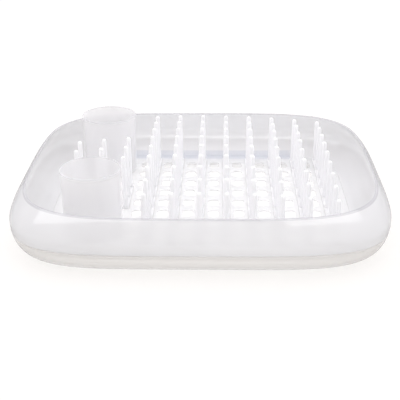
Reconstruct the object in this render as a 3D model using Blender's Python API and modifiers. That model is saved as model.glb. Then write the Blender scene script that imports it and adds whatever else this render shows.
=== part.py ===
"""Dish drying rack in translucent moulded plastic.

A shallow drip tray carries a bowl-shaped drainer. The drainer has a slotted floor, eleven columns
of upright pegs and two open cutlery cups. The drainer lifts out of the tray, and each cup lifts out
of the drainer. Units are metres, +Z is up, and the origin is the centre of the tray's flat base.
"""
import math

import bmesh
import bpy

# Outer form of the rack: a rounded rectangle in plan, widest part-way up its wall.
LENGTH = 0.460              # along X, at the widest height
DEPTH = 0.385               # along Y, at the widest height
WIDEST_HEIGHT = 0.040
RIM_HEIGHT = 0.069
BASE_INSET = 0.030          # how far the flat base stands inside the widest outline
RIM_INSET_X = 0.0165
RIM_INSET_Y = 0.0130
RIM_CURVE = 1.4             # how the wall leans in above its widest height
BASE_SQUARENESS = 5.1       # exponent of the plan's superellipse at the base
RIM_SQUARENESS = 4.1        # and at the rim
PLAN_SEGMENTS = 48

# Tray and bowl walls.
GAP = 0.0003                # between pieces that touch
TRAY_WALL = 0.0022
BOWL_WALL = 0.0024
PARTING_HEIGHT = 0.028      # top of the tray's wall, where the bowl rests on it
LIP_RISE = 0.0006           # the tray's lip is square to its sloping wall, so it rises inwards
SEAT_HEIGHT = PARTING_HEIGHT + LIP_RISE + GAP
SHOULDER = TRAY_WALL + 0.0010
TRAY_RINGS = 6
NESTED_RINGS = 5
RIM_RINGS = 5

# Slotted floor.
FLOOR_INSET = 0.0425        # floor's edge inside the widest outline
FLOOR_SQUARENESS = 6.0      # squarer than the rim, so that the corner pegs stand on it
FLOOR_UNDERSIDE = 0.0118
FLOOR_THICKNESS = 0.0024
FLOOR_TOP = FLOOR_UNDERSIDE + FLOOR_THICKNESS
SLOT_WIDTH = 0.014
SLOT_LENGTH = 0.020
SLOT_CORNER = 0.004

# Pegs stand on a square grid, centred on the rack.
PITCH = 0.0321
COLUMNS = range(-5, 6)
LAST_ROW = 4                # full columns run from row -4 to row 4
SHORT_COLUMNS = (-5, -4, -3)
LAST_SHORT_ROW = 1          # the columns between the cups hold three pegs
PEG_ROOT_RADIUS = 0.0036
PEG_TIP_RADIUS = 0.0030
PEG_TIP_ROUNDING = 0.0022
PEG_SIDES = 8
TALLEST_PEG_TIP = 0.0892
TIP_CREST_ROW = 0.5         # the tips follow a shallow dome, highest just behind the middle
TIP_DROP_Y = 0.0102         # drop at the front row
TIP_DROP_X = 0.0088         # and at the end columns
STRIP_WIDTH = 0.0085
STRIP_HEIGHT = 0.0020
STRIP_OVERHANG = 0.0050

# Cutlery cups stand on two grid points at the left.
CUP_COLUMN = -4
CUP_ROW = 3
CUP_TOP = 0.0950
CUP_TOP_RADIUS = 0.0365
CUP_FOOT_RADIUS = 0.0348
CUP_WALL = 0.0020
CUP_EDGE = 0.0020
CUP_SIDES = 32
CUP_HOLE_RADIUS = 0.0035
CUP_HOLE_CIRCLE = 0.0170
CUP_HOLES = 5


def clear_scene():
    for old in list(bpy.data.objects):
        bpy.data.objects.remove(old, do_unlink=True)


def make_collection(name):
    collection = bpy.data.collections.new(name)
    bpy.context.scene.collection.children.link(collection)
    return collection


def make_material(name, colour, roughness):
    material = bpy.data.materials.new(name)
    material.use_nodes = True
    shader = material.node_tree.nodes["Principled BSDF"]
    shader.inputs["Base Color"].default_value = (*colour, 1.0)
    shader.inputs["Roughness"].default_value = roughness
    shader.inputs["Metallic"].default_value = 0.0
    return material


def make_object(name, mesh_source, collection, colour=None, roughness=0.3):
    mesh = bpy.data.meshes.new(name)
    mesh_source.to_mesh(mesh)
    mesh_source.free()
    piece = bpy.data.objects.new(name, mesh)
    collection.objects.link(piece)
    if colour:
        mesh.materials.append(make_material(name + "_plastic", colour, roughness))
    return piece


def make_cutter(name, mesh_source, collection):
    cutter = make_object(name, mesh_source, collection)
    cutter.hide_render = True
    cutter.display_type = "WIRE"
    return cutter


def add_boolean(piece, operation, operand):
    modifier = piece.modifiers.new(operation.lower(), "BOOLEAN")
    modifier.operation = operation
    modifier.solver = "EXACT"
    modifier.object = operand


def add_solidify(piece, thickness):
    modifier = piece.modifiers.new("wall", "SOLIDIFY")
    modifier.thickness = thickness
    modifier.offset = -1.0
    modifier.use_even_offset = True


def smooth_shade(piece, sharp_angle=math.radians(35)):
    piece.data.shade_smooth()
    piece.data.set_sharp_from_angle(angle=sharp_angle)


def squareness_at(height):
    return BASE_SQUARENESS + (RIM_SQUARENESS - BASE_SQUARENESS) * height / RIM_HEIGHT


def plan_ring(height, inset_x, inset_y, squareness):
    """Points of a superellipse outline at one height, counter-clockwise from +X."""
    power = 2.0 / squareness
    points = []
    for index in range(PLAN_SEGMENTS):
        angle = 2.0 * math.pi * index / PLAN_SEGMENTS
        cosine, sine = math.cos(angle), math.sin(angle)
        x = math.copysign(abs(cosine) ** power, cosine) * (LENGTH / 2.0 - inset_x)
        y = math.copysign(abs(sine) ** power, sine) * (DEPTH / 2.0 - inset_y)
        points.append((x, y, height))
    return points


def lower_section(turn):
    """Wall below the widest height: a quarter ellipse, flat at the base and upright at its top."""
    inset = BASE_INSET * (1.0 - math.sin(turn))
    height = WIDEST_HEIGHT * (1.0 - math.cos(turn))
    return height, inset, inset, squareness_at(height)


def lower_turn(height):
    return math.acos(1.0 - height / WIDEST_HEIGHT)


def upper_section(share):
    """Wall above the widest height, leaning in towards the rim."""
    lean = share ** RIM_CURVE
    height = WIDEST_HEIGHT + (RIM_HEIGHT - WIDEST_HEIGHT) * share
    return height, RIM_INSET_X * lean, RIM_INSET_Y * lean, squareness_at(height)


def steps(first, last, count):
    return [first + (last - first) * index / count for index in range(count + 1)]


def loft(sections, closed_below):
    """An open surface through a ring at each section, with its faces pointing outwards."""
    surface = bmesh.new()
    rings = [[surface.verts.new(point) for point in plan_ring(*section)] for section in sections]
    for lower, upper in zip(rings, rings[1:]):
        for index in range(PLAN_SEGMENTS):
            after = (index + 1) % PLAN_SEGMENTS
            surface.faces.new((lower[index], lower[after], upper[after], upper[index]))
    if closed_below:
        surface.faces.new(list(reversed(rings[0])))
    return surface


def build_tray(collection):
    sections = [lower_section(turn) for turn in steps(0.0, lower_turn(PARTING_HEIGHT), TRAY_RINGS)]
    tray = make_object("drip_tray", loft(sections, True), collection, (0.80, 0.78, 0.75), 0.25)
    add_solidify(tray, TRAY_WALL)
    smooth_shade(tray)
    return tray


def build_bowl(collection):
    seat = SEAT_HEIGHT
    _, seat_inset, _, seat_squareness = lower_section(lower_turn(seat))
    nested_inset = seat_inset + SHOULDER
    sections = []
    for turn in steps(0.0, math.pi / 2.0, NESTED_RINGS):
        out, up = math.sin(turn), 1.0 - math.cos(turn)
        inset = FLOOR_INSET + (nested_inset - FLOOR_INSET) * out
        squareness = FLOOR_SQUARENESS + (seat_squareness - FLOOR_SQUARENESS) * out
        height = FLOOR_UNDERSIDE + (seat - FLOOR_UNDERSIDE) * up
        sections.append((height, inset, inset, squareness))
    sections.append((seat, seat_inset, seat_inset, seat_squareness))
    sections.append(lower_section((lower_turn(seat) + math.pi / 2.0) / 2.0))
    sections += [upper_section(share) for share in steps(0.0, 1.0, RIM_RINGS)]
    bowl = make_object("drainer_bowl", loft(sections, False), collection, (0.82, 0.82, 0.84), 0.2)
    add_solidify(bowl, BOWL_WALL)
    smooth_shade(bowl)
    return bowl


def slot_prisms():
    """One upright prism with cut corners for each slot, midway between four pegs."""
    slots = bmesh.new()
    for column in range(-5, 5):
        for row in range(-LAST_ROW, LAST_ROW):
            new = bmesh.ops.create_cube(slots, size=1.0)["verts"]
            bmesh.ops.scale(slots, vec=(SLOT_WIDTH, SLOT_LENGTH, 4.0 * FLOOR_THICKNESS), verts=new)
            centre = ((column + 0.5) * PITCH, (row + 0.5) * PITCH, FLOOR_TOP)
            bmesh.ops.translate(slots, vec=centre, verts=new)
            new_edges = {edge for vert in new for edge in vert.link_edges}
            upright = [e for e in new_edges if abs(e.verts[0].co.z - e.verts[1].co.z) > FLOOR_THICKNESS]
            bmesh.ops.bevel(slots, geom=upright, offset=SLOT_CORNER, segments=1, affect="EDGES")
    return slots


def build_floor(collection, cutters):
    edge_inset = FLOOR_INSET + GAP
    surface = loft([(FLOOR_UNDERSIDE, edge_inset, edge_inset, FLOOR_SQUARENESS)], True)
    floor = make_object("drain_floor", surface, collection, (0.88, 0.88, 0.88), 0.3)
    add_solidify(floor, FLOOR_THICKNESS)
    add_boolean(floor, "DIFFERENCE", make_cutter("floor_slots", slot_prisms(), cutters))
    return floor


def peg_tip_height(column, row):
    across = (column / COLUMNS[-1]) ** 2
    along = ((row - TIP_CREST_ROW) / (LAST_ROW + TIP_CREST_ROW)) ** 2
    return TALLEST_PEG_TIP - TIP_DROP_X * across - TIP_DROP_Y * along


def add_peg(pegs, column, row, root_height):
    """A tapered peg with a rounded tip."""
    tip = peg_tip_height(column, row)
    new = bmesh.ops.create_cone(
        pegs, cap_ends=True, segments=PEG_SIDES, radius1=PEG_ROOT_RADIUS,
        radius2=PEG_TIP_RADIUS, depth=tip - root_height)["verts"]
    middle = (column * PITCH, row * PITCH, (tip + root_height) / 2.0)
    bmesh.ops.translate(pegs, vec=middle, verts=new)
    new_edges = {edge for vert in new for edge in vert.link_edges}
    top = [e for e in new_edges if min(e.verts[0].co.z, e.verts[1].co.z) > tip - GAP]
    bmesh.ops.bevel(pegs, geom=top, offset=PEG_TIP_ROUNDING, segments=2, profile=0.5, affect="EDGES")


def build_peg_column(column, collection, cutters):
    """A low strip on the floor that carries one column of pegs."""
    last = LAST_SHORT_ROW if column in SHORT_COLUMNS else LAST_ROW
    strip_bottom = FLOOR_TOP + GAP
    pegs = bmesh.new()
    for row in range(-last, last + 1):
        add_peg(pegs, column, row, strip_bottom + STRIP_HEIGHT / 2.0)
    number = column - COLUMNS[0] + 1
    pegs = make_cutter(f"pegs_{number:02d}", pegs, cutters)

    strip = bmesh.new()
    length = 2.0 * (last * PITCH + STRIP_OVERHANG)
    bmesh.ops.create_cube(strip, size=1.0)
    bmesh.ops.scale(strip, vec=(STRIP_WIDTH, length, STRIP_HEIGHT), verts=strip.verts)
    centre = (column * PITCH, 0.0, strip_bottom + STRIP_HEIGHT / 2.0)
    bmesh.ops.translate(strip, vec=centre, verts=strip.verts)
    piece = make_object(f"peg_column_{number:02d}", strip, collection, (0.9, 0.9, 0.9), 0.35)
    add_boolean(piece, "UNION", pegs)
    return piece


def cup_profile(height):
    """Half section of a cup, up its inside, over the lip and down its outside to the axis."""
    inner_foot = CUP_FOOT_RADIUS - CUP_WALL
    return [
        (0.0, CUP_WALL),
        (inner_foot - CUP_EDGE / 2.0, CUP_WALL),
        (inner_foot, CUP_WALL + CUP_EDGE / 2.0),
        (CUP_TOP_RADIUS - CUP_WALL, height),
        (CUP_TOP_RADIUS, height),
        (CUP_FOOT_RADIUS, CUP_EDGE),
        (CUP_FOOT_RADIUS - CUP_EDGE, 0.0),
        (0.0, 0.0),
    ]


def build_cup(name, row, collection, cutters):
    foot = FLOOR_TOP + GAP
    profile = bmesh.new()
    verts = [profile.verts.new((radius, 0.0, z)) for radius, z in cup_profile(CUP_TOP - foot)]
    for first, second in zip(verts, verts[1:]):
        profile.edges.new((first, second))
    cup = make_object(name, profile, collection, (0.84, 0.84, 0.87), 0.25)
    turn = cup.modifiers.new("turn", "SCREW")
    turn.steps = CUP_SIDES
    turn.render_steps = CUP_SIDES
    turn.use_merge_vertices = True
    turn.merge_threshold = 0.00005
    turn.use_smooth_shade = True

    holes = bmesh.new()
    for index in range(CUP_HOLES):
        angle = 2.0 * math.pi * index / CUP_HOLES
        new = bmesh.ops.create_cone(
            holes, cap_ends=True, segments=10, radius1=CUP_HOLE_RADIUS,
            radius2=CUP_HOLE_RADIUS, depth=6.0 * CUP_WALL)["verts"]
        place = (CUP_HOLE_CIRCLE * math.cos(angle), CUP_HOLE_CIRCLE * math.sin(angle), 0.0)
        bmesh.ops.translate(holes, vec=place, verts=new)
    holes = make_cutter(name + "_holes", holes, cutters)
    holes.parent = cup
    add_boolean(cup, "DIFFERENCE", holes)
    cup.location = (CUP_COLUMN * PITCH, row * PITCH, foot)
    return cup


def make_joint_empty(name, location, collection):
    empty = bpy.data.objects.new(name, None)
    empty.location = location
    collection.objects.link(empty)
    return empty


def build_rack():
    clear_scene()
    rack = make_collection("dish_drying_rack")
    cutters = make_collection("cutters")
    build_tray(rack)
    drainer_axis = make_joint_empty("drainer_lift_axis", (0.0, 0.0, 0.0), rack)
    drainer = [build_bowl(rack), build_floor(rack, cutters)]
    drainer += [build_peg_column(column, rack, cutters) for column in COLUMNS]
    drainer.append(build_cup("cutlery_cup_back", CUP_ROW, rack, cutters))
    drainer.append(build_cup("cutlery_cup_front", -CUP_ROW, rack, cutters))
    for piece in drainer:
        piece.parent = drainer_axis


build_rack()
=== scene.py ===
import math

import bmesh
import bpy
from mathutils import Matrix, Vector


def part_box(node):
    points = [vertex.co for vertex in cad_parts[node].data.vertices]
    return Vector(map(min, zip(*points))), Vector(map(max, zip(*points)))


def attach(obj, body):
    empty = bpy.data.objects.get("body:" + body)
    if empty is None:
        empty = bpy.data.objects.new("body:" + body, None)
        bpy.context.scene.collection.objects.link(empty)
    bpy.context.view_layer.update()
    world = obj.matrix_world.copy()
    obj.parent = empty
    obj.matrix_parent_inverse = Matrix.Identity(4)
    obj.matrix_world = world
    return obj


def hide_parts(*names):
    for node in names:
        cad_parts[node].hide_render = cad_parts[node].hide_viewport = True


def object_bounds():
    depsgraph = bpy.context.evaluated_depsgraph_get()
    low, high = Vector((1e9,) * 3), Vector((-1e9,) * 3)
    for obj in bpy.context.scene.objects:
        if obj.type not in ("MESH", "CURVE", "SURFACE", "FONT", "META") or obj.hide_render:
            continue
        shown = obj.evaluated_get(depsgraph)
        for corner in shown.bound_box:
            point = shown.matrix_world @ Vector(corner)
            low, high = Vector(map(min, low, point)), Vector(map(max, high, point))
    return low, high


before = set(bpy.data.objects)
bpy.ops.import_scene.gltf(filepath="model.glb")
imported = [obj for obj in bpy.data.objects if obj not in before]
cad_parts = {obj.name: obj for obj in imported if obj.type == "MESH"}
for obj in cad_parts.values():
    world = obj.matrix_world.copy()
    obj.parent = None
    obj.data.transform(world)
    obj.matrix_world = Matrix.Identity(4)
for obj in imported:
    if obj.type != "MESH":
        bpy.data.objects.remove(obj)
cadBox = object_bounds()
print("frame loaded with", len(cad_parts), "nodes")


# Working helpers, used by every piece.
nearEnough = 1e-5


def deselectAll():
    if bpy.context.object and bpy.context.object.mode != "OBJECT":
        bpy.ops.object.mode_set(mode="OBJECT")
    bpy.ops.object.select_all(action="DESELECT")


def makeActive(piece):
    deselectAll()
    piece.select_set(True)
    bpy.context.view_layer.objects.active = piece


def newPiece(name):
    piece = bpy.context.object  # the primitive that was just added
    piece.name = name
    piece.data.name = name
    return piece


def editMode():
    bpy.ops.object.mode_set(mode="EDIT")


def objectMode():
    bpy.ops.object.mode_set(mode="OBJECT")


def selectVerts(piece, wanted):  # adds the vertices whose place passes the test
    mesh = bmesh.from_edit_mesh(piece.data)
    for vert in mesh.verts:
        if wanted(vert.co):
            vert.select = True
    mesh.select_flush(True)
    bmesh.update_edit_mesh(piece.data)


def finishModifier(piece, kind, **values):
    makeActive(piece)
    modifier = piece.modifiers.new(kind.lower(), kind)
    for key, value in values.items():
        setattr(modifier, key, value)
    bpy.ops.object.modifier_apply(modifier=modifier.name)


def cutWith(piece, cutter, operation="DIFFERENCE"):
    finishModifier(piece, "BOOLEAN", operation=operation, solver="EXACT", object=cutter)
    bpy.data.objects.remove(cutter, do_unlink=True)


def roundEdges(piece, width, segments, angle=40):
    finishModifier(piece, "BEVEL", width=width, segments=segments, limit_method="ANGLE",
                   angle_limit=math.radians(angle), miter_outer="MITER_ARC")


def applyPlace(piece):
    makeActive(piece)
    bpy.ops.object.transform_apply(location=True, rotation=True, scale=True)


def joinAll(pieces):
    makeActive(pieces[0])
    for piece in pieces[1:]:
        piece.select_set(True)
    bpy.ops.object.join()
    return pieces[0]


def smoothShade(piece, angle=32):
    makeActive(piece)
    bpy.ops.object.shade_smooth_by_angle(angle=math.radians(angle))


def placePiece(piece, body, material, slot, *nodes):
    piece.data.materials.clear()
    piece.data.materials.append(material)
    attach(piece, body)
    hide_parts(*nodes)
    print("made", piece.name, "with", len(piece.data.polygons), "faces")


# Outer form of the rack: a superellipse in plan, widest part-way up.
rackForm = {
    "length": cadBox[1].x - cadBox[0].x,
    "depth": cadBox[1].y - cadBox[0].y,
    "widestHeight": 0.040,
    "rimHeight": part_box("drainer_bowl")[1].z,
    "baseInset": 0.030,
    "rimInsetX": 0.0165,
    "rimInsetY": 0.0130,
    "rimCurve": 1.4,
    "baseSquareness": 5.1,
    "rimSquareness": 4.1,
    "outlinePoints": 176,
    "startRadius": 0.1,
    "pegPitch": 0.0321,
}


def squarenessAt(height):
    change = rackForm["rimSquareness"] - rackForm["baseSquareness"]
    return rackForm["baseSquareness"] + change * height / rackForm["rimHeight"]


def lowerSection(turn):
    height = rackForm["widestHeight"] * (1.0 - math.cos(turn))
    inset = rackForm["baseInset"] * (1.0 - math.sin(turn))
    return height, inset, inset, squarenessAt(height)


def lowerTurn(height):
    return math.acos(1.0 - height / rackForm["widestHeight"])


def upperSection(share):
    lean = share ** rackForm["rimCurve"]
    rise = rackForm["rimHeight"] - rackForm["widestHeight"]
    height = rackForm["widestHeight"] + rise * share
    return height, rackForm["rimInsetX"] * lean, rackForm["rimInsetY"] * lean, squarenessAt(height)


def steps(first, last, count):
    return [first + (last - first) * index / count for index in range(count + 1)]


def outlinePoint(angle, section):
    height, insetX, insetY, squareness = section
    across = abs(math.cos(angle)) / (rackForm["length"] / 2.0 - insetX)
    along = abs(math.sin(angle)) / (rackForm["depth"] / 2.0 - insetY)
    reach = (across ** squareness + along ** squareness) ** (-1.0 / squareness)
    return reach * math.cos(angle), reach * math.sin(angle), height


def shapeRing(shell, section):  # moves the selected ring out to the rack's outline
    mesh = bmesh.from_edit_mesh(shell.data)
    for vert in mesh.verts:
        if vert.select:
            vert.co = outlinePoint(math.atan2(vert.co.y, vert.co.x), section)
    bmesh.update_edit_mesh(shell.data)


def nearOutline(co, section):
    point = Vector(outlinePoint(math.atan2(co.y, co.x), section))
    return (point - co).length < nearEnough


def ringShell(name, sections, closing):  # a circle, shaped and then extruded through the sections
    deselectAll()
    bpy.ops.mesh.primitive_circle_add(
        vertices=rackForm["outlinePoints"], radius=rackForm["startRadius"])
    shell = newPiece(name)
    editMode()
    bpy.ops.mesh.select_all(action="SELECT")
    shapeRing(shell, sections[0])
    for section in sections[1:]:
        bpy.ops.mesh.extrude_region_move()
        shapeRing(shell, section)
    bpy.ops.mesh.select_all(action="DESELECT")
    selectVerts(shell, lambda co: nearOutline(co, sections[0]))
    if closing == "face":
        bpy.ops.mesh.edge_face_add()
    else:
        selectVerts(shell, lambda co: nearOutline(co, sections[-1]))
        bpy.ops.mesh.bridge_edge_loops()
    bpy.ops.mesh.select_all(action="SELECT")
    bpy.ops.mesh.normals_make_consistent(inside=False)
    objectMode()
    widest = max(shell.data.polygons, key=lambda face: abs(face.center.x))
    if widest.normal.x * widest.center.x < 0:
        shell.data.flip_normals()  # an open bowl has no inside for the operator to find
    return shell


# Shader effects that several plastics share.
plasticMarks = {
    "flowDetail": 3.0,
    "flowDistortion": 0.6,
    "flowRange": (0.3, 0.7),
    "scuffTurn": (0.2, 0.1, 0.6),
    "scuffStretch": (1.0, 14.0, 3.0),
    "scuffDetail": 5.0,
    "scuffRange": (0.62, 0.72),
    "scuffHeight": -0.5,      # scuffs lie below the grain
    "grainDetail": 2.0,
}


def newGroup(name, inputs, outputs):
    group = bpy.data.node_groups.new(name, "ShaderNodeTree")
    for label, kind, value in inputs:
        socket = group.interface.new_socket(label, in_out="INPUT", socket_type=kind)
        socket.default_value = value
    for label, kind in outputs:
        group.interface.new_socket(label, in_out="OUTPUT", socket_type=kind)
    return group, group.nodes.new("NodeGroupInput"), group.nodes.new("NodeGroupOutput")


def makeCloudingGroup():  # faint milky flow marks, as a mask from 0 to 1
    group, given, result = newGroup(
        "milkyFlow",
        [("Scale", "NodeSocketFloat", 14.0), ("Stretch", "NodeSocketVector", (1, 1, 1))],
        [("Mask", "NodeSocketFloat")])
    nodes, links = group.nodes, group.links
    place = nodes.new("ShaderNodeTexCoord")
    turn = nodes.new("ShaderNodeMapping")
    clouds = nodes.new("ShaderNodeTexNoise")
    spread = nodes.new("ShaderNodeMapRange")
    clouds.inputs["Detail"].default_value = plasticMarks["flowDetail"]
    clouds.inputs["Distortion"].default_value = plasticMarks["flowDistortion"]
    spread.inputs["From Min"].default_value = plasticMarks["flowRange"][0]
    spread.inputs["From Max"].default_value = plasticMarks["flowRange"][1]
    links.new(place.outputs["Object"], turn.inputs["Vector"])
    links.new(given.outputs["Stretch"], turn.inputs["Scale"])
    links.new(turn.outputs["Vector"], clouds.inputs["Vector"])
    links.new(given.outputs["Scale"], clouds.inputs["Scale"])
    links.new(clouds.outputs["Fac"], spread.inputs["Value"])
    links.new(spread.outputs["Result"], result.inputs["Mask"])
    return group


def makeScuffGroup():  # fine grain and sparse hairline scuffs
    group, given, result = newGroup(
        "fineScuffs",
        [("Grain Scale", "NodeSocketFloat", 900.0), ("Scuff Scale", "NodeSocketFloat", 60.0)],
        [("Height", "NodeSocketFloat"), ("Scuffs", "NodeSocketFloat")])
    nodes, links = group.nodes, group.links
    place = nodes.new("ShaderNodeTexCoord")
    turn = nodes.new("ShaderNodeMapping")
    turn.inputs["Rotation"].default_value = plasticMarks["scuffTurn"]
    turn.inputs["Scale"].default_value = plasticMarks["scuffStretch"]
    lines = nodes.new("ShaderNodeTexNoise")
    lines.inputs["Detail"].default_value = plasticMarks["scuffDetail"]
    sharpen = nodes.new("ShaderNodeMapRange")
    sharpen.inputs["From Min"].default_value = plasticMarks["scuffRange"][0]
    sharpen.inputs["From Max"].default_value = plasticMarks["scuffRange"][1]
    grain = nodes.new("ShaderNodeTexNoise")
    grain.inputs["Detail"].default_value = plasticMarks["grainDetail"]
    mix = nodes.new("ShaderNodeMath")
    mix.operation = "MULTIPLY_ADD"
    mix.inputs[1].default_value = plasticMarks["scuffHeight"]
    links.new(place.outputs["Object"], turn.inputs["Vector"])
    links.new(turn.outputs["Vector"], lines.inputs["Vector"])
    links.new(given.outputs["Scuff Scale"], lines.inputs["Scale"])
    links.new(lines.outputs["Fac"], sharpen.inputs["Value"])
    links.new(place.outputs["Object"], grain.inputs["Vector"])
    links.new(given.outputs["Grain Scale"], grain.inputs["Scale"])
    links.new(sharpen.outputs["Result"], mix.inputs[0])
    links.new(grain.outputs["Fac"], mix.inputs[2])
    links.new(mix.outputs[0], result.inputs["Height"])
    links.new(sharpen.outputs["Result"], result.inputs["Scuffs"])
    return group


def makeEdgeBandGroup():  # a mask for all that lies above one height
    group, given, result = newGroup(
        "edgeBand",
        [("Height", "NodeSocketFloat", 0.068), ("Blend", "NodeSocketFloat", 0.0004)],
        [("Mask", "NodeSocketFloat")])
    nodes, links = group.nodes, group.links
    place = nodes.new("ShaderNodeTexCoord")
    split = nodes.new("ShaderNodeSeparateXYZ")
    top = nodes.new("ShaderNodeMath")
    band = nodes.new("ShaderNodeMapRange")
    band.interpolation_type = "SMOOTHSTEP"
    links.new(place.outputs["Object"], split.inputs["Vector"])
    links.new(given.outputs["Height"], top.inputs[0])
    links.new(given.outputs["Blend"], top.inputs[1])
    links.new(split.outputs["Z"], band.inputs["Value"])
    links.new(given.outputs["Height"], band.inputs["From Min"])
    links.new(top.outputs[0], band.inputs["From Max"])
    links.new(band.outputs["Result"], result.inputs["Mask"])
    return group


milkyFlow = makeCloudingGroup()
fineScuffs = makeScuffGroup()
edgeBand = makeEdgeBandGroup()


def paintBackFootShade(nodes, links, before, paintedFootShade):  # painted shade: a darker, cooler band along the foot of the back wall
    place = nodes.new("ShaderNodeTexCoord")
    split = nodes.new("ShaderNodeSeparateXYZ")
    links.new(place.outputs["Object"], split.inputs["Vector"])
    side = nodes.new("ShaderNodeMath")
    side.operation = "ABSOLUTE"
    links.new(split.outputs["X"], side.inputs[0])
    mask = None
    for source, (start, end) in ((side.outputs[0], paintedFootShade["ends"]),
                                 (split.outputs["Y"], paintedFootShade["front"]),
                                 (split.outputs["Y"], paintedFootShade["back"]),
                                 (split.outputs["Z"], paintedFootShade["top"])):
        part = nodes.new("ShaderNodeMapRange")
        part.interpolation_type = "SMOOTHSTEP"
        part.inputs["From Min"].default_value = start
        part.inputs["From Max"].default_value = end
        links.new(source, part.inputs["Value"])
        if mask is None:
            mask = part.outputs["Result"]
            continue
        both = nodes.new("ShaderNodeMath")
        both.operation = "MULTIPLY"
        links.new(mask, both.inputs[0])
        links.new(part.outputs["Result"], both.inputs[1])
        mask = both.outputs[0]
    tinted = nodes.new("ShaderNodeMix")
    tinted.data_type = "RGBA"
    tinted.inputs["B"].default_value = (*paintedFootShade["colour"], 1.0)
    links.new(before.outputs["Result"], tinted.inputs["A"])
    links.new(mask, tinted.inputs["Factor"])
    return tinted


def makePlastic(name, values):  # milky translucent plastic, as polypropylene moulds
    material = bpy.data.materials.new(name)
    material.use_nodes = True
    nodes, links = material.node_tree.nodes, material.node_tree.links
    shader = nodes["Principled BSDF"]
    shader.inputs["IOR"].default_value = values["bending"]
    shader.inputs["Specular IOR Level"].default_value = values["shine"]
    shader.inputs["Alpha"].default_value = values["density"]
    shader.inputs["Subsurface Weight"].default_value = values["glow"]
    shader.inputs["Subsurface Radius"].default_value = (1.0, 1.0, 1.0)
    shader.inputs["Subsurface Scale"].default_value = values["glowDepth"]
    shader.inputs["Coat Weight"].default_value = values["gloss"]
    shader.inputs["Coat Roughness"].default_value = values["glossBlur"]
    flow = nodes.new("ShaderNodeGroup")
    flow.node_tree = milkyFlow
    flow.inputs["Scale"].default_value = values["flowScale"]
    flow.inputs["Stretch"].default_value = values["flowStretch"]
    scuffs = nodes.new("ShaderNodeGroup")
    scuffs.node_tree = fineScuffs
    scuffs.inputs["Grain Scale"].default_value = values["grainScale"]
    scuffs.inputs["Scuff Scale"].default_value = values["scuffScale"]
    colour = nodes.new("ShaderNodeMix")
    colour.data_type = "RGBA"
    colour.inputs["A"].default_value = (*values["colour"], 1.0)
    colour.inputs["B"].default_value = (*values["milky"], 1.0)
    # Above the band height the colour turns to the band colour: painted shade along the rims of the
    # wall and the cups, and a warmer tint on the tray above its foot.
    edge = nodes.new("ShaderNodeGroup")
    edge.node_tree = edgeBand
    edge.inputs["Height"].default_value = values["edgeHeight"]
    edge.inputs["Blend"].default_value = values["edgeBlend"]
    rimmed = nodes.new("ShaderNodeMix")
    rimmed.data_type = "RGBA"
    rimmed.inputs["B"].default_value = (*values["bandShadeAndTint"], 1.0)
    links.new(colour.outputs["Result"], rimmed.inputs["A"])
    links.new(edge.outputs["Mask"], rimmed.inputs["Factor"])
    # painted shade along the foot of the back wall, on the plastics that carry it (the wall and the
    # floor)
    if "paintedFootShade" in values:
        rimmed = paintBackFootShade(nodes, links, rimmed, values["paintedFootShade"])
    rough = nodes.new("ShaderNodeMapRange")
    rough.inputs["To Min"].default_value = values["roughness"]
    rough.inputs["To Max"].default_value = values["roughness"] + values["scuffing"]
    bump = nodes.new("ShaderNodeBump")
    bump.inputs["Strength"].default_value = values["grainDepth"]
    bump.inputs["Distance"].default_value = values["grainHeight"]
    links.new(flow.outputs["Mask"], colour.inputs["Factor"])
    links.new(rimmed.outputs["Result"], shader.inputs["Base Color"])
    links.new(scuffs.outputs["Scuffs"], rough.inputs["Value"])
    links.new(rough.outputs["Result"], shader.inputs["Roughness"])
    links.new(scuffs.outputs["Height"], bump.inputs["Height"])
    links.new(bump.outputs["Normal"], shader.inputs["Normal"])
    return material


# Values for each plastic. Density is how far it hides what lies behind it, and gloss is the
# polish of its skin.
# Painted shade: where the back wall turns into the floor, a darker, cooler band is painted into the
# colour.
backFootShade = {
    "ends": (0.138, 0.122), "front": (0.1350, 0.1380), "back": (0.1665, 0.1630),
    "top": (0.0300, 0.0290), "colour": (0.78, 0.80, 0.86),
}
wallPlastic = {
    "colour": (0.915, 0.914, 0.924), "milky": (0.94, 0.939, 0.949), "bending": 1.49,
    "shine": 0.0, "density": 0.56, "glow": 0.0, "glowDepth": 0.003, "gloss": 1.0, "glossBlur": 0.03,
    "roughness": 0.3, "scuffing": 0.15, "flowScale": 9.0, "flowStretch": (1, 1, 2.5),
    "grainScale": 700.0, "scuffScale": 30.0, "grainDepth": 0.04, "grainHeight": 0.0004,
    "paintedFootShade": backFootShade,
    # painted shade: a darker band along the top of the rim
    "edgeHeight": 0.0671, "edgeBlend": 0.0006, "bandShadeAndTint": (0.72, 0.71, 0.74),
}
plainWall = {key: value for key, value in wallPlastic.items() if key != "paintedFootShade"}
trayPlastic = dict(
    plainWall, colour=(0.985, 0.985, 0.985), milky=(0.99, 0.99, 0.99), density=0.42,
    edgeHeight=0.004, edgeBlend=0.003, bandShadeAndTint=(0.965, 0.942, 0.918))
floorPlastic = dict(
    wallPlastic, colour=(0.925, 0.925, 0.93), milky=(0.95, 0.95, 0.955), density=0.5, gloss=0.3,
    glossBlur=0.2, roughness=0.35, scuffing=0.2, scuffScale=70.0, grainDepth=0.08, edgeHeight=0.5)
pegPlastic = dict(
    plainWall, colour=(0.88, 0.88, 0.90), milky=(0.905, 0.905, 0.925), density=1.0, glow=1.0,
    glowDepth=0.01, gloss=0.5, glossBlur=0.06, grainDepth=0.08, edgeHeight=0.5)
# The cups get a band of painted shade along the top of the lip.
cupPlastic = dict(
    plainWall, colour=(0.99, 0.985, 0.997), milky=(1.0, 0.995, 1.0), density=0.48, gloss=0.6,
    glossBlur=0.2, edgeHeight=0.0938, bandShadeAndTint=(0.86, 0.855, 0.87))

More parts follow.
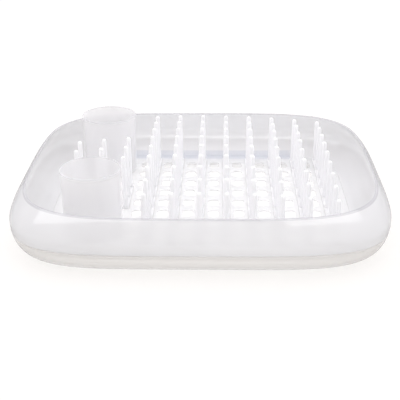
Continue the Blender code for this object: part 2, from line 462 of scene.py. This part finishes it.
wallMaterial = makePlastic("translucentWall", wallPlastic)
trayMaterial = makePlastic("translucentTray", trayPlastic)
floorMaterial = makePlastic("milkyFloor", floorPlastic)
pegMaterial = makePlastic("milkyPegs", pegPlastic)
cupMaterial = makePlastic("translucentCups", cupPlastic)
print("materials made")

dripTray = {
    "wall": 0.0022,
    "partingHeight": 0.028,
    "wallSteps": 12,
    "footInset": 0.0420,      # a shallow recess under the base leaves a resting band round it
    "footSlope": 0.0012,
    "recess": 0.0006,
    "edgeRadius": 0.0005,
}


def makeTray():
    tray = dripTray
    recessInset = tray["footInset"] + tray["footSlope"]
    baseSquareness = rackForm["baseSquareness"]
    sections = [
        (tray["recess"], recessInset, recessInset, baseSquareness),
        (0.0, tray["footInset"], tray["footInset"], baseSquareness),
    ]
    lastTurn = lowerTurn(tray["partingHeight"])
    sections += [lowerSection(turn) for turn in steps(0.0, lastTurn, tray["wallSteps"])]
    piece = ringShell("dripTray", sections, "face")
    finishModifier(piece, "SOLIDIFY", thickness=tray["wall"], offset=-1.0, use_even_offset=True)
    roundEdges(piece, tray["edgeRadius"], segments=2)
    smoothShade(piece)
    placePiece(piece, "tray", trayMaterial, "tray_plastic", "drip_tray")


drainerBowl = {
    "wall": 0.0024,
    "seatHeight": 0.0289,
    "shoulder": 0.0027,
    "floorInset": 0.0425,
    "floorSquareness": 6.0,
    "floorUnderside": 0.0118,
    "nestedSteps": 12,
    "wallSteps": 5,
    "rimSteps": 14,
    "lipRadius": 0.0009,
}


def makeBowl():
    bowl = drainerBowl
    seat = bowl["seatHeight"]
    _, seatInset, _, seatSquareness = lowerSection(lowerTurn(seat))
    nestedInset = seatInset + bowl["shoulder"]
    sections = []
    for turn in steps(0.0, math.pi / 2.0, bowl["nestedSteps"]):  # outside, nested in the tray
        out, up = math.sin(turn), 1.0 - math.cos(turn)
        inset = bowl["floorInset"] + (nestedInset - bowl["floorInset"]) * out
        squareness = bowl["floorSquareness"] + (seatSquareness - bowl["floorSquareness"]) * out
        height = bowl["floorUnderside"] + (seat - bowl["floorUnderside"]) * up
        sections.append((height, inset, inset, squareness))
    wallTurns = steps(lowerTurn(seat), math.pi / 2.0, bowl["wallSteps"])
    sections += [lowerSection(turn) for turn in wallTurns[:-1]]
    outside = [upperSection(share) for share in steps(0.0, 1.0, bowl["rimSteps"])]
    sections += outside
    wall = bowl["wall"]
    sections += [(height, insetX + wall, insetY + wall, squareness)
                 for height, insetX, insetY, squareness in reversed(outside)]
    floorHeight = bowl["floorUnderside"] + wall
    widest, widestSquareness = rackForm["widestHeight"], squarenessAt(rackForm["widestHeight"])
    for turn in steps(math.pi / 2.0, 0.0, bowl["nestedSteps"])[1:]:  # inside, one smooth sweep
        out, up = math.sin(turn), 1.0 - math.cos(turn)
        inset = bowl["floorInset"] + (wall - bowl["floorInset"]) * out
        squareness = bowl["floorSquareness"] + (widestSquareness - bowl["floorSquareness"]) * out
        sections.append((floorHeight + (widest - floorHeight) * up, inset, inset, squareness))
    piece = ringShell("drainerBowl", sections, "bridge")
    roundEdges(piece, bowl["lipRadius"], segments=3, angle=50)
    smoothShade(piece)
    placePiece(piece, "drainer", wallMaterial, "bowl_plastic", "drainer_bowl")


drainFloor = {
    "thickness": 0.0024,
    "gap": 0.0003,            # under the peg strips
    "slotWidth": 0.0140,
    "slotLength": 0.0200,
    "slotCorner": 0.0052,
    "slotCornerSegments": 5,
    "slotCutterHeight": 0.02,
    "slotColumns": 10,
    "slotRows": 8,
    "edgeRadius": 0.0004,
    "edgeGap": 0.0001,        # between the floor and the bowl
}


def makeSlots():  # one rounded prism, repeated by two arrays over the floor
    floor = drainFloor
    pitch = rackForm["pegPitch"]
    corner = Vector((-(floor["slotColumns"] - 1) / 2.0, -(floor["slotRows"] - 1) / 2.0, 0.0)) * pitch
    deselectAll()
    bpy.ops.mesh.primitive_cube_add(
        size=1.0, location=corner + Vector((0, 0, drainerBowl["floorUnderside"])),
        scale=(floor["slotWidth"], floor["slotLength"], floor["slotCutterHeight"]))
    slots = newPiece("slotCutter")
    applyPlace(slots)
    editMode()
    bpy.ops.mesh.select_mode(type="EDGE")
    bpy.ops.mesh.select_all(action="DESELECT")
    mesh = bmesh.from_edit_mesh(slots.data)
    for edge in mesh.edges:
        rise = abs(edge.verts[0].co.z - edge.verts[1].co.z)
        edge.select = rise > floor["slotCutterHeight"] / 2.0
    mesh.select_flush(True)
    bmesh.update_edit_mesh(slots.data)
    bpy.ops.mesh.bevel(
        offset=floor["slotCorner"], segments=floor["slotCornerSegments"], affect="EDGES")
    objectMode()
    for count, step in ((floor["slotColumns"], (pitch, 0, 0)), (floor["slotRows"], (0, pitch, 0))):
        finishModifier(slots, "ARRAY", count=count, use_relative_offset=False,
                       use_constant_offset=True, constant_offset_displace=step)
    return slots


def makeFloor():
    floor = drainFloor
    inset = drainerBowl["floorInset"] + floor["edgeGap"]
    section = (drainerBowl["floorUnderside"], inset, inset, drainerBowl["floorSquareness"])
    deselectAll()
    bpy.ops.mesh.primitive_circle_add(
        vertices=rackForm["outlinePoints"], radius=rackForm["startRadius"], fill_type="NGON")
    piece = newPiece("drainFloor")
    editMode()
    bpy.ops.mesh.select_all(action="SELECT")
    shapeRing(piece, section)
    bpy.ops.mesh.extrude_region_move(
        TRANSFORM_OT_translate={"value": (0.0, 0.0, floor["thickness"])})
    bpy.ops.mesh.select_all(action="SELECT")
    bpy.ops.mesh.normals_make_consistent(inside=False)
    objectMode()
    cutWith(piece, makeSlots())
    roundEdges(piece, floor["edgeRadius"], segments=2)
    smoothShade(piece)
    placePiece(piece, "drainer", floorMaterial, "floor_plastic", "drain_floor")


pegColumns = {
    "first": -5,
    "count": 11,
    "shortCount": 3,
    "rows": 4,
    "shortRows": 1,
    "rootRadius": 0.0036,
    "tipRadius": 0.0030,
    "tipRounding": 0.0027,
    "tipSegments": 6,
    "sides": 18,
    "flare": 1.16,
    "flareHeight": 0.0035,
    "flareLevels": (0.33, 0.66, 1.0),
    "flareCurve": 0.35,       # share of the flare that is left at its first level
    "masterHeight": 0.060,
    "tallest": 0.0892,        # the tips follow a shallow dome, highest just behind the middle
    "crestRow": 0.5,
    "dropX": 0.0088,
    "dropY": 0.0102,
    "stripWidth": 0.0085,
    "stripHeight": 0.0020,
    "stripOverhang": 0.0050,
    "stripRadius": 0.0006,
}
floorTop = drainerBowl["floorUnderside"] + drainFloor["thickness"]
stripBottom = floorTop + drainFloor["gap"]


def makePegMaster():  # one tapered peg with a round tip and a flared root
    peg = pegColumns
    height = peg["masterHeight"]
    deselectAll()
    bpy.ops.mesh.primitive_cone_add(
        vertices=peg["sides"], radius1=peg["rootRadius"], radius2=peg["tipRadius"], depth=height,
        location=(0, 0, height / 2.0))
    master = newPiece("pegMaster")
    applyPlace(master)
    editMode()
    for share in peg["flareLevels"]:
        bpy.ops.mesh.select_all(action="SELECT")
        bpy.ops.mesh.bisect(plane_co=(0, 0, peg["flareHeight"] * share), plane_no=(0, 0, 1))
    slimmer = 1.0 + (peg["flare"] - 1.0) * peg["flareCurve"]
    for level, scale in ((0.0, peg["flare"]), (peg["flareLevels"][0], slimmer)):
        bpy.ops.mesh.select_all(action="DESELECT")
        selectVerts(master, lambda co: abs(co.z - peg["flareHeight"] * level) < nearEnough)
        bpy.ops.transform.resize(value=(scale, scale, 1.0))
    bpy.ops.mesh.select_all(action="DESELECT")
    selectVerts(master, lambda co: co.z > height - nearEnough)
    bpy.ops.mesh.bevel(
        offset=peg["tipRounding"], segments=peg["tipSegments"], profile=0.5, affect="EDGES")
    objectMode()
    return master


def pegTip(column, row):
    peg = pegColumns
    lastColumn = peg["first"] + peg["count"] - 1
    across = (column / lastColumn) ** 2
    along = ((row - peg["crestRow"]) / (peg["rows"] + peg["crestRow"])) ** 2
    return peg["tallest"] - peg["dropX"] * across - peg["dropY"] * along


def copyPeg(master, column, row, root):  # its shaft is stretched to its own height
    copy = master.copy()
    copy.data = master.data.copy()
    bpy.context.scene.collection.objects.link(copy)
    longer = pegTip(column, row) - root - pegColumns["masterHeight"]
    pitch = rackForm["pegPitch"]
    for vert in copy.data.vertices:
        if vert.co.z > pegColumns["masterHeight"] / 2.0:
            vert.co.z += longer
        vert.co += Vector((column * pitch, row * pitch, root))
    return copy


def makePegColumns():
    peg = pegColumns
    master = makePegMaster()
    root = stripBottom + peg["stripHeight"] / 2.0
    for number in range(1, peg["count"] + 1):
        column = peg["first"] + number - 1
        last = peg["shortRows"] if number <= peg["shortCount"] else peg["rows"]
        pegs = joinAll([copyPeg(master, column, row, root) for row in range(-last, last + 1)])
        deselectAll()
        bpy.ops.mesh.primitive_cube_add(
            size=1.0, location=(column * rackForm["pegPitch"], 0, root),
            scale=(peg["stripWidth"], 2 * (last * rackForm["pegPitch"] + peg["stripOverhang"]),
                   peg["stripHeight"]))
        strip = newPiece(f"pegColumn{number:02d}")
        applyPlace(strip)
        roundEdges(strip, peg["stripRadius"], segments=2)
        cutWith(strip, pegs, operation="UNION")
        smoothShade(strip, angle=40)
        placePiece(strip, "drainer", pegMaterial, "peg_plastic", f"peg_column_{number:02d}")
    bpy.data.objects.remove(master, do_unlink=True)


cutleryCup = {
    "wall": 0.0020,
    "sides": 80,
    "footRounding": 0.00176,
    "footSegments": 4,
    "footRadius": 0.0348,
    "lipBand": 0.0036,
    "lipStep": 0.0005,
    "lipStepSlope": 1.5,
    "lipRadius": 0.0007,
    "holeRadius": 0.0035,
    "holeCircle": 0.0170,
    "holes": 5,               # in a ring, round one in the middle
    "holeSides": 24,
    "holeCutterDepth": 0.008,
}


def makeCup(name, node, body):
    cup = cutleryCup
    low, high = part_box(node)
    centre = (low + high) / 2.0
    height = high.z - low.z
    topRadius = (high.x - low.x) / 2.0
    deselectAll()
    bpy.ops.mesh.primitive_cylinder_add(
        vertices=cup["sides"], radius=cup["footRadius"], depth=height)
    piece = newPiece(name)
    editMode()
    spread = (topRadius - cup["lipStep"]) / cup["footRadius"]
    bpy.ops.mesh.select_all(action="DESELECT")
    selectVerts(piece, lambda co: co.z > 0)
    bpy.ops.transform.resize(value=(spread, spread, 1.0))
    bandFoot = height / 2.0 - cup["lipBand"]
    for level in (bandFoot, bandFoot + cup["lipStep"] * cup["lipStepSlope"]):
        bpy.ops.mesh.select_all(action="SELECT")
        bpy.ops.mesh.bisect(plane_co=(0, 0, level), plane_no=(0, 0, 1))
    bpy.ops.mesh.select_all(action="DESELECT")
    selectVerts(piece, lambda co: co.z > bandFoot + cup["lipStep"])
    band = topRadius / (topRadius - cup["lipStep"])
    bpy.ops.transform.resize(value=(band, band, 1.0))
    bpy.ops.mesh.select_all(action="DESELECT")
    bpy.ops.mesh.select_mode(type="FACE")
    mesh = bmesh.from_edit_mesh(piece.data)
    for face in mesh.faces:
        face.select = face.normal.z > 0.9
    bmesh.update_edit_mesh(piece.data)
    bpy.ops.mesh.inset(thickness=cup["wall"])
    bpy.ops.mesh.extrude_region_move(
        TRANSFORM_OT_translate={"value": (0.0, 0.0, cup["wall"] - height)})
    inner = (cup["footRadius"] - cup["wall"]) / (topRadius - cup["wall"])
    bpy.ops.transform.resize(value=(inner, inner, 1.0))
    bpy.ops.mesh.select_mode(type="VERT")
    bpy.ops.mesh.select_all(action="DESELECT")
    selectVerts(piece, lambda co: co.z < cup["wall"] * 1.1 - height / 2.0 and
                co.xy.length > cup["footRadius"] - cup["wall"] * 1.2)  # the foot's two corners
    bpy.ops.mesh.bevel(
        offset=cup["footRounding"], segments=cup["footSegments"], affect="EDGES")
    objectMode()
    for index in range(cup["holes"] + 1):
        angle = 2.0 * math.pi * index / cup["holes"]
        ring = cup["holeCircle"] if index < cup["holes"] else 0.0
        deselectAll()
        bpy.ops.mesh.primitive_cylinder_add(
            vertices=cup["holeSides"], radius=cup["holeRadius"], depth=cup["holeCutterDepth"],
            location=(ring * math.cos(angle), ring * math.sin(angle), -height / 2.0))
        cutWith(piece, newPiece("holeCutter"))
    roundEdges(piece, cup["lipRadius"], segments=3, angle=50)
    piece.location = centre
    applyPlace(piece)
    smoothShade(piece)
    placePiece(piece, body, cupMaterial, "cup_plastic", node)


makeTray()
makeBowl()
makeFloor()
makePegColumns()
makeCup("cutleryCupBack", "cutlery_cup_back", "cup_back")
makeCup("cutleryCupFront", "cutlery_cup_front", "cup_front")

studio = {
    "floorSize": 12.0,
    "floorColour": (0.23, 0.23, 0.23),
    "floorRoughness": 0.6,
    "floorTint": (1.0, 0.98, 0.96),
    "floorSeen": 0.77,        # the table's own glow as it is seen
    "floorFill": 0.72,        # and as it lights the rack from below
    "floorMirrored": 0.0,     # and as the gloss mirrors it
    "tableGlow": 0.56,        # the table is lit from underneath, within the rack's base
    "tableGlowReach": (0.196, 0.158, 1.0),
    "tableGlowFade": 0.6,
    "backdrop": (1.0, 1.0, 1.0),
    "skyLow": (1.0, 0.975, 0.965),
    "skyHigh": (0.97, 0.965, 1.0),
    "skyLowStrength": 0.60,
    "skyHighStrength": 1.70,
    "skyLean": (0.0, 0.48, 0.877),  # towards the brightest part of the sky
    "skyFoot": -0.15,
    "skyMirrored": 0.10,
}


def makeStage():
    deselectAll()
    bpy.ops.mesh.primitive_plane_add(size=studio["floorSize"])
    floor = newPiece("paleFloor")
    material = bpy.data.materials.new("paleFloorPaint")
    material.use_nodes = True
    nodes, links = material.node_tree.nodes, material.node_tree.links
    shader = nodes["Principled BSDF"]
    shader.inputs["Base Color"].default_value = (*studio["floorColour"], 1.0)
    shader.inputs["Roughness"].default_value = studio["floorRoughness"]
    shader.inputs["Specular IOR Level"].default_value = 0.0
    shader.inputs["Emission Color"].default_value = (*studio["floorTint"], 1.0)
    path = nodes.new("ShaderNodeLightPath")
    seen = nodes.new("ShaderNodeMapRange")
    seen.inputs["To Min"].default_value = studio["floorFill"]
    seen.inputs["To Max"].default_value = studio["floorSeen"]
    mirrored = nodes.new("ShaderNodeMath")
    mirrored.operation = "MULTIPLY_ADD"
    mirrored.inputs[1].default_value = studio["floorMirrored"] - studio["floorFill"]
    links.new(path.outputs["Is Camera Ray"], seen.inputs["Value"])
    links.new(path.outputs["Is Glossy Ray"], mirrored.inputs[0])
    links.new(seen.outputs["Result"], mirrored.inputs[2])
    place = nodes.new("ShaderNodeTexCoord")
    spread = nodes.new("ShaderNodeVectorMath")
    spread.operation = "DIVIDE"
    spread.inputs[1].default_value = studio["tableGlowReach"]
    square = nodes.new("ShaderNodeVectorMath")
    square.operation = "MULTIPLY"
    fourth = nodes.new("ShaderNodeVectorMath")
    fourth.operation = "MULTIPLY"
    reach = nodes.new("ShaderNodeVectorMath")
    reach.operation = "DOT_PRODUCT"
    reach.inputs[1].default_value = (1.0, 1.0, 0.0)
    beneath = nodes.new("ShaderNodeMapRange")
    beneath.inputs["From Min"].default_value = 1.0
    beneath.inputs["From Max"].default_value = studio["tableGlowFade"]
    glow = nodes.new("ShaderNodeMath")
    glow.operation = "MULTIPLY_ADD"
    glow.inputs[1].default_value = studio["tableGlow"]
    links.new(place.outputs["Object"], spread.inputs[0])
    links.new(spread.outputs["Vector"], square.inputs[0])
    links.new(spread.outputs["Vector"], square.inputs[1])
    links.new(square.outputs["Vector"], fourth.inputs[0])
    links.new(square.outputs["Vector"], fourth.inputs[1])
    links.new(fourth.outputs["Vector"], reach.inputs[0])
    links.new(reach.outputs["Value"], beneath.inputs["Value"])
    links.new(beneath.outputs["Result"], glow.inputs[0])
    links.new(mirrored.outputs[0], glow.inputs[2])
    links.new(glow.outputs[0], shader.inputs["Emission Strength"])
    floor.data.materials.append(material)


def makeWorld():  # white backdrop, a sky that is brighter and cooler overhead, dim reflections
    world = bpy.data.worlds.new("softStudio")
    bpy.context.scene.world = world
    world.use_nodes = True
    nodes, links = world.node_tree.nodes, world.node_tree.links
    sky = nodes["Background"]
    place = nodes.new("ShaderNodeTexCoord")
    lean = nodes.new("ShaderNodeVectorMath")
    lean.operation = "DOT_PRODUCT"
    lean.inputs[1].default_value = studio["skyLean"]
    rise = nodes.new("ShaderNodeMapRange")
    rise.inputs["From Min"].default_value = studio["skyFoot"]
    tint = nodes.new("ShaderNodeMix")
    tint.data_type = "RGBA"
    tint.inputs["A"].default_value = (*studio["skyLow"], 1.0)
    tint.inputs["B"].default_value = (*studio["skyHigh"], 1.0)
    power = nodes.new("ShaderNodeMapRange")
    power.inputs["To Min"].default_value = studio["skyLowStrength"]
    power.inputs["To Max"].default_value = studio["skyHighStrength"]
    links.new(place.outputs["Generated"], lean.inputs[0])
    links.new(lean.outputs["Value"], rise.inputs["Value"])
    links.new(rise.outputs["Result"], tint.inputs["Factor"])
    links.new(rise.outputs["Result"], power.inputs["Value"])
    links.new(tint.outputs["Result"], sky.inputs["Color"])
    links.new(power.outputs["Result"], sky.inputs["Strength"])
    mirrored = nodes.new("ShaderNodeBackground")
    mirrored.inputs["Strength"].default_value = studio["skyMirrored"]
    seen = nodes.new("ShaderNodeBackground")
    seen.inputs["Color"].default_value = (*studio["backdrop"], 1.0)
    path = nodes.new("ShaderNodeLightPath")
    dimmed = nodes.new("ShaderNodeMixShader")
    pick = nodes.new("ShaderNodeMixShader")
    links.new(path.outputs["Is Glossy Ray"], dimmed.inputs["Fac"])
    links.new(sky.outputs["Background"], dimmed.inputs[1])
    links.new(mirrored.outputs["Background"], dimmed.inputs[2])
    links.new(path.outputs["Is Camera Ray"], pick.inputs["Fac"])
    links.new(dimmed.outputs["Shader"], pick.inputs[1])
    links.new(seen.outputs["Background"], pick.inputs[2])
    links.new(pick.outputs["Shader"], nodes["World Output"].inputs["Surface"])


softboxes = {
    "distance": 1.3,
    "radiance": 3.9,
    "target": (0.0, -0.10, 0.05),
    "left": {"azimuth": -55.5, "elevation": 52.5, "roll": 14.9, "size": (1.75, 0.85)},
    "right": {"azimuth": 58.2, "elevation": 56.7, "roll": -9.2, "size": (1.53, 0.99)},
}


def makeSoftbox(name, box):
    target = Vector(softboxes["target"])
    azimuth, elevation = math.radians(box["azimuth"]), math.radians(box["elevation"])
    data = bpy.data.lights.new(name, "AREA")
    data.shape = "RECTANGLE"
    data.size, data.size_y = box["size"]
    data.energy = softboxes["radiance"] * data.size * data.size_y * math.pi
    away = Vector((math.sin(azimuth) * math.cos(elevation),
                   -math.cos(azimuth) * math.cos(elevation), math.sin(elevation)))
    turn = away.to_track_quat("Z", "Y").to_matrix() @ Matrix.Rotation(math.radians(box["roll"]), 3, "Z")
    light = bpy.data.objects.new(name, data)
    light.matrix_world = Matrix.Translation(target + away * softboxes["distance"]) @ turn.to_4x4()
    light.visible_diffuse = False  # the sky lights the plastic, the boxes only shine on it
    light.visible_transmission = False
    bpy.context.scene.collection.objects.link(light)


cameraView = {
    "azimuth": 1.418,
    "elevation": 24.526,
    "roll": -0.373,
    "distance": 1.1488,
    "target": (-0.0020, 0.0, 0.0105),
    "lens": 78.9,
    "sensor": 36.0,
}


def makeCamera():
    view = cameraView
    azimuth, elevation = math.radians(view["azimuth"]), math.radians(view["elevation"])
    back = Vector((math.sin(azimuth) * math.cos(elevation),
                   -math.cos(azimuth) * math.cos(elevation), math.sin(elevation)))
    right = Vector((math.cos(azimuth), math.sin(azimuth), 0.0))
    up = back.cross(right)
    turn = Matrix((right, up, back)).transposed() @ Matrix.Rotation(math.radians(view["roll"]), 3, "Z")
    data = bpy.data.cameras.new("studioCamera")
    data.lens = view["lens"]
    data.sensor_width = view["sensor"]
    camera = bpy.data.objects.new("studioCamera", data)
    camera.matrix_world = Matrix.Translation(
        Vector(view["target"]) + back * view["distance"]) @ turn.to_4x4()
    bpy.context.scene.collection.objects.link(camera)
    bpy.context.scene.camera = camera


makeStage()
makeWorld()
makeSoftbox("softboxLeft", softboxes["left"])
makeSoftbox("softboxRight", softboxes["right"])
makeCamera()
bpy.context.scene.view_settings.view_transform = "Standard"
print("stage, lights and camera made")
